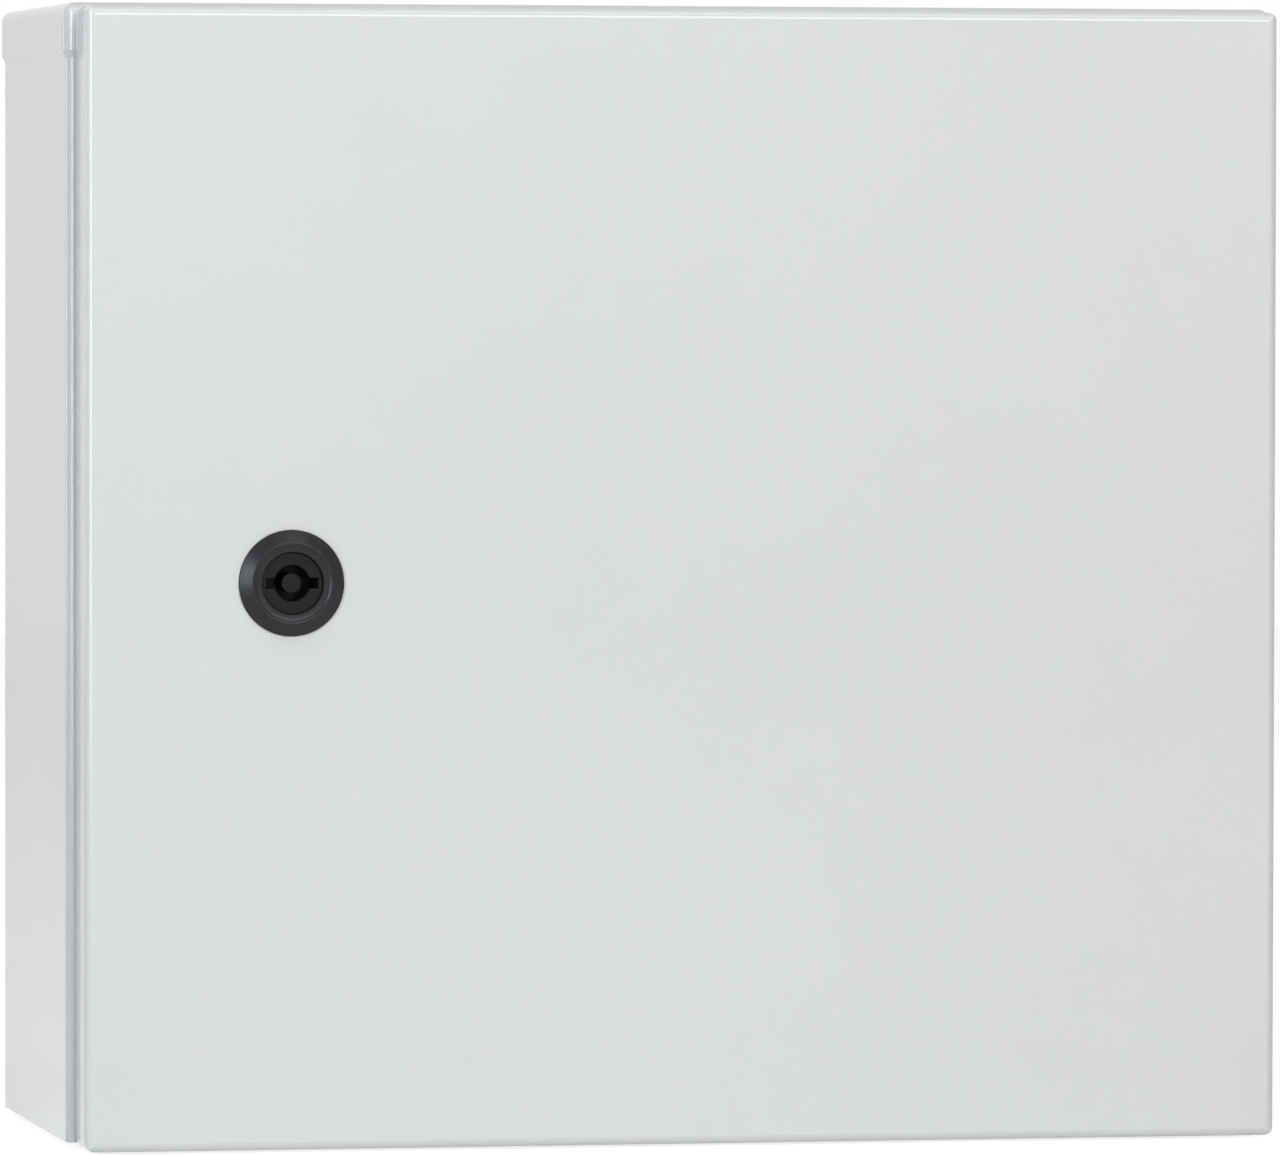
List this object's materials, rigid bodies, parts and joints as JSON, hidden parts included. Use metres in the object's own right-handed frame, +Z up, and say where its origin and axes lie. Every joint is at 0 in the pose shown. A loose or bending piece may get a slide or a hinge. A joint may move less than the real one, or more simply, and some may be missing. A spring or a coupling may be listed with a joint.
{
  "type": "fire alarm control panel",
  "caption": "Sheet-steel wall cabinet of a fire alarm control panel: blank hinged door with a round quarter-turn lock, roof cap, and control equipment inside.",
  "frame": {"origin": "centre of the four wall fixing holes, on the outer face of the back panel", "axes": "+X to the right seen from the front, -Y out of the door, +Z up"},
  "size_m": [0.327, 0.1432, 0.302],
  "materials": {
    "body_paint": "fine orange-peel powder coat, semi-gloss",
    "door_paint": "fine orange-peel powder coat, semi-gloss",
    "zinc_sheet": "galvanised, satin",
    "steel": "zinc plated, satin",
    "dark_steel": "phosphated, satin",
    "brass": "turned, satin",
    "lock_black": "satin black",
    "core_black": "satin black",
    "cam_zinc": "zinc plated, satin",
    "foam": "foamed, matt",
    "rubber": "matt",
    "battery_case": "fine texture",
    "tray_sheet": "galvanised, satin",
    "aluminium_case": "bright sheet, satin",
    "terminal_black": "moulded",
    "board_green": "solder mask, glossy",
    "terminal_green": "moulded",
    "relay_blue": "moulded",
    "capacitor_sleeve": "shrink sleeve",
    "chip_black": "moulded",
    "fuse_glass": "clear",
    "fascia_grey": "fine texture",
    "display_green": "glossy",
    "window_clear": "clear",
    "lamp_red": "clear red",
    "button_red": "moulded",
    "button_white": "moulded",
    "button_blue": "moulded",
    "rail_grey": "moulded",
    "breaker_white": "moulded",
    "nylon": "moulded"
  },
  "bodies": {
    "cabinet": {"body_shell": "body_paint", "top_cap": "body_paint", "gland_plate": "body_paint", "gland_gasket": "foam", "gland_plate_screws": "steel", "cable_grommets": "rubber", "hinge_arms": "steel", "hinge_rivets": "steel", "plate_studs": "steel", "plate_spacers": "steel", "plate_nuts": "steel", "mounting_plate": "zinc_sheet", "body_earth_stud": "brass", "battery": "battery_case", "battery_terminals": "brass", "battery_tray": "tray_sheet", "battery_band": "tray_sheet", "power_supply": "aluminium_case", "power_supply_terminals": "terminal_black", "control_board": "board_green", "board_standoffs": "brass", "board_screws": "steel", "terminal_blocks": "terminal_green", "relays": "relay_blue", "capacitors": "capacitor_sleeve", "chips": "chip_black", "fuses": "fuse_glass", "buzzer": "terminal_black", "panel_board": "board_green", "panel_posts": "brass", "operator_panel": "fascia_grey", "display_module": "display_green", "display_window": "window_clear", "indicator_lamps": "lamp_red", "button_switches": "terminal_black", "din_rail": "zinc_sheet", "rail_screws": "steel", "rail_terminals": "rail_grey", "rail_end_stops": "terminal_black", "breaker": "breaker_white", "tamper_bracket": "tray_sheet", "tamper_switch": "terminal_black"},
    "door": {"door_panel": "door_paint", "door_gasket": "foam", "door_earth_stud": "brass", "hinge_pins": "steel", "hinge_clips": "dark_steel", "lock_housing": "lock_black", "lock_seal": "rubber", "lock_nut": "cam_zinc"},
    "lock": {"lock_core": "core_black", "lock_cam": "cam_zinc", "lock_cam_screw": "steel"},
    "breaker_toggle": {"breaker_toggle": "terminal_black"},
    "tamper_plunger": {"tamper_plunger": "nylon"},
    "button_1": {"button_1": "button_red"},
    "button_2": {"button_2": "button_white"},
    "button_3": {"button_3": "button_white"},
    "button_4": {"button_4": "button_blue"}
  },
  "joints": [
    {"name": "door_hinge", "type": "hinge", "parent": "cabinet", "child": "door", "pos_m": [0.156, -0.1295, 0], "axis": [0, 0, 1], "range_deg": [0, 110]},
    {"name": "lock_turn", "type": "hinge", "parent": "door", "child": "lock", "pos_m": [-0.106, -0.14, -0.001], "axis": [0, -1, 0], "range_deg": [0, 90]},
    {"name": "tamper_slide", "type": "slide", "parent": "cabinet", "child": "tamper_plunger", "axis": [0, -1, 0], "range_m": [0, 0.003]},
    {"name": "breaker_switch", "type": "hinge", "parent": "cabinet", "child": "breaker_toggle", "pos_m": [0.0833, -0.0765, 0.0741], "axis": [1, 0, 0], "range_deg": [0, 56]},
    {"name": "button_1_press", "type": "slide", "parent": "cabinet", "child": "button_1", "axis": [0, 1, 0], "range_m": [0, 0.001], "stiffness_N_per_m": 400},
    {"name": "button_2_press", "type": "slide", "parent": "cabinet", "child": "button_2", "axis": [0, 1, 0], "range_m": [0, 0.001], "stiffness_N_per_m": 400},
    {"name": "button_3_press", "type": "slide", "parent": "cabinet", "child": "button_3", "axis": [0, 1, 0], "range_m": [0, 0.001], "stiffness_N_per_m": 400},
    {"name": "button_4_press", "type": "slide", "parent": "cabinet", "child": "button_4", "axis": [0, 1, 0], "range_m": [0, 0.001], "stiffness_N_per_m": 400}
  ],
  "couplings": [
    {"joint": "tamper_slide", "follows": "door_hinge", "m_per_rad": 0.0015}
  ]
}
